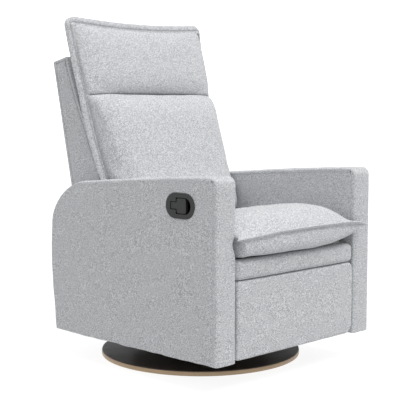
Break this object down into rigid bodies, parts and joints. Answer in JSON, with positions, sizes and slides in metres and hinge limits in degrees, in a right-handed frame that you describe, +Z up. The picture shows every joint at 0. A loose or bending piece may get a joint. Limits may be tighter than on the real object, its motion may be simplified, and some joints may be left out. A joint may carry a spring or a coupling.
{
  "type": "swivel glider recliner chair",
  "caption": "Upholstered swivel glider recliner with padded arms, headrest cushion, fold-out footrest, side release handle and round wood-edged floor disc.",
  "frame": {"origin": "on the floor, on the swivel's axis, at the centre of the base disc's underside", "axes": "+Z up; the chair faces -Y; +X is the sitter's left; the release handle is on the -X arm"},
  "size_m": [0.6778, 0.8207, 1.0462],
  "materials": {
    "grey_fabric": "light grey heathered woven upholstery",
    "base_wood": "tan bent plywood edge, satin lacquer",
    "frame_wood": "raw plywood and pine",
    "black_steel": "satin black powder coat",
    "zinc_steel": "zinc plated",
    "black_plastic": "fine-grained black",
    "foot_rubber": "matte non-slip sheet"
  },
  "bodies": {
    "base": {"base_foot_pad": "foot_rubber", "base_disc": "base_wood", "base_top_plate": "black_steel", "bearing_lower_race": "zinc_steel", "bearing_ball_ring": "zinc_steel", "swivel_bolt": "zinc_steel"},
    "swivel": {"bearing_upper_race": "zinc_steel", "swivel_plate": "black_steel", "glider_upright_left": "black_steel", "glider_upright_right": "black_steel"},
    "glider_links_front": {"glider_link_front_left": "zinc_steel", "glider_link_front_right": "zinc_steel"},
    "glider_links_rear": {"glider_link_rear_left": "zinc_steel", "glider_link_rear_right": "zinc_steel"},
    "chair": {"carriage_plate_left": "black_steel", "carriage_plate_right": "black_steel", "carriage_tube_front": "black_steel", "carriage_tube_rear": "black_steel", "seat_rail_left": "frame_wood", "seat_rail_right": "frame_wood", "seat_front_rail": "frame_wood", "seat_rear_rail": "frame_wood", "seat_spring_1": "zinc_steel", "seat_spring_2": "zinc_steel", "seat_spring_3": "zinc_steel", "seat_spring_4": "zinc_steel", "recliner_plate_left": "zinc_steel", "recliner_plate_right": "zinc_steel", "arm_board_left": "frame_wood", "arm_board_right": "frame_wood", "arm_cover_left": "grey_fabric", "arm_cover_right": "grey_fabric", "seat_cushion": "grey_fabric", "rear_panel": "grey_fabric", "handle_cup": "black_plastic", "release_cable": "black_plastic"},
    "back": {"back_frame": "frame_wood", "back_shell": "grey_fabric", "back_cushion": "grey_fabric", "headrest_cushion": "grey_fabric", "back_bracket_left": "zinc_steel", "back_bracket_right": "zinc_steel"},
    "footrest_main_links": {"footrest_main_link_left": "zinc_steel", "footrest_main_link_right": "zinc_steel", "footrest_drive_tube": "black_steel"},
    "footrest_guide_links": {"footrest_guide_link_left": "zinc_steel", "footrest_guide_link_right": "zinc_steel"},
    "footrest_lower_arms": {"footrest_lower_arm_left": "zinc_steel", "footrest_lower_arm_right": "zinc_steel"},
    "footrest_upper_arms": {"footrest_upper_arm_left": "zinc_steel", "footrest_upper_arm_right": "zinc_steel"},
    "footrest": {"ottoman_bracket_left": "zinc_steel", "ottoman_bracket_right": "zinc_steel", "footrest_board": "frame_wood", "footrest_pad": "grey_fabric", "footrest_roll": "grey_fabric"},
    "handle": {"handle_paddle": "black_plastic"},
    "latch": {"latch_lever": "zinc_steel"}
  },
  "joints": [
    {"name": "swivel", "type": "hinge", "parent": "base", "child": "swivel", "pos_m": [0, 0, 0.0427], "axis": [0, 0, 1], "continuous": true},
    {"name": "glide", "type": "hinge", "parent": "swivel", "child": "glider_links_front", "pos_m": [0, -0.125, 0.25], "axis": [1, 0, 0], "range_deg": [-22, 22]},
    {"name": "glide_rear_links", "type": "hinge", "parent": "swivel", "child": "glider_links_rear", "pos_m": [0, 0.125, 0.25], "axis": [1, 0, 0], "range_deg": [-22, 22]},
    {"name": "glide_chair_level", "type": "hinge", "parent": "glider_links_front", "child": "chair", "pos_m": [0, -0.125, 0.12], "axis": [1, 0, 0], "range_deg": [-22, 22]},
    {"name": "footrest_lift", "type": "hinge", "parent": "chair", "child": "footrest_main_links", "pos_m": [0, -0.29, 0.305], "axis": [-1, 0, 0], "range_deg": [0, 90]},
    {"name": "footrest_guide_turn", "type": "hinge", "parent": "chair", "child": "footrest_guide_links", "pos_m": [0, -0.22, 0.305], "axis": [-1, 0, 0], "range_deg": [0, 90]},
    {"name": "footrest_lower_arm_turn", "type": "hinge", "parent": "footrest_main_links", "child": "footrest_lower_arms", "pos_m": [0, -0.19914, 0.11014], "axis": [-1, 0, 0], "range_deg": [-90, 0]},
    {"name": "footrest_upper_arm_turn", "type": "hinge", "parent": "footrest_main_links", "child": "footrest_upper_arms", "pos_m": [0, -0.22872, 0.17358], "axis": [-1, 0, 0], "range_deg": [-90, 0]},
    {"name": "footrest_tilt", "type": "hinge", "parent": "footrest_lower_arms", "child": "footrest", "pos_m": [0, -0.295, 0.245], "axis": [-1, 0, 0], "range_deg": [0, 90]},
    {"name": "back_recline", "type": "hinge", "parent": "chair", "child": "back", "pos_m": [0, 0.22, 0.372], "axis": [-1, 0, 0], "range_deg": [0, 35]},
    {"name": "handle_pull", "type": "hinge", "parent": "chair", "child": "handle", "pos_m": [-0.3345, -0.2295, 0.504], "axis": [0, 0, -1], "range_deg": [0, 32], "stiffness_Nm_per_rad": 0.6, "springref_deg": -17.19},
    {"name": "latch_turn", "type": "hinge", "parent": "chair", "child": "latch", "pos_m": [0, -0.06, 0.29425], "axis": [-1, 0, 0], "range_deg": [0, 16]}
  ],
  "couplings": [
    {"joint": "glide_rear_links", "follows": "glide", "ratio": 1},
    {"joint": "glide_chair_level", "follows": "glide", "ratio": -1},
    {"joint": "footrest_guide_turn", "follows": "footrest_lift", "ratio": 1},
    {"joint": "footrest_lower_arm_turn", "follows": "footrest_lift", "ratio": -1},
    {"joint": "footrest_upper_arm_turn", "follows": "footrest_lift", "ratio": -1},
    {"joint": "footrest_tilt", "follows": "footrest_lift", "ratio": 1},
    {"joint": "latch_turn", "follows": "handle_pull", "ratio": 0.5}
  ]
}
